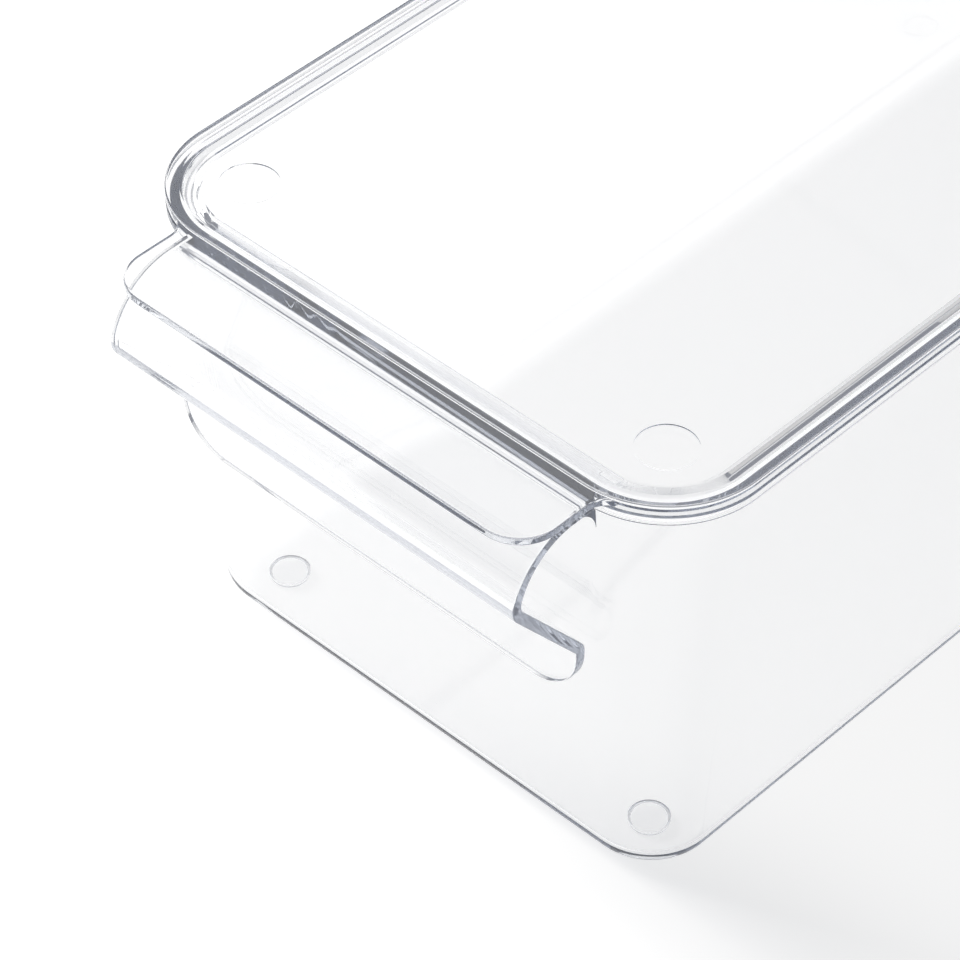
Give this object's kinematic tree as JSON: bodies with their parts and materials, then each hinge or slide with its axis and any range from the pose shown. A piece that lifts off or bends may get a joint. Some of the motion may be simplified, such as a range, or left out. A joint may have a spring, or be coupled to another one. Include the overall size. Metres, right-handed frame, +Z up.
{
  "type": "storage box with lid",
  "caption": "Clear moulded plastic storage box, drafted walls, lift-off lid with a pull tab, curled front handle and small round foot pads.",
  "frame": {"origin": "middle of the whole footprint, handle included, on the plane the foot pads stand on", "axes": "+Z up; the front, with the handle and the lid's tab, faces -Y; +X is to the right seen from the front"},
  "size_m": [0.16, 0.3332, 0.1191],
  "materials": {
    "clear_plastic": "polished, colourless, see-through",
    "clear_soft_pad": "soft, colourless, see-through"
  },
  "bodies": {
    "bin": {"storage_bin": "clear_plastic", "foot_front_left": "clear_soft_pad", "foot_front_right": "clear_soft_pad", "foot_rear_left": "clear_soft_pad", "foot_rear_right": "clear_soft_pad"},
    "lid": {"lid": "clear_plastic"}
  },
  "joints": [
    {"name": "lid_lift", "type": "slide", "parent": "bin", "child": "lid", "axis": [0, 0, 1], "range_m": [0, 0.15]}
  ]
}
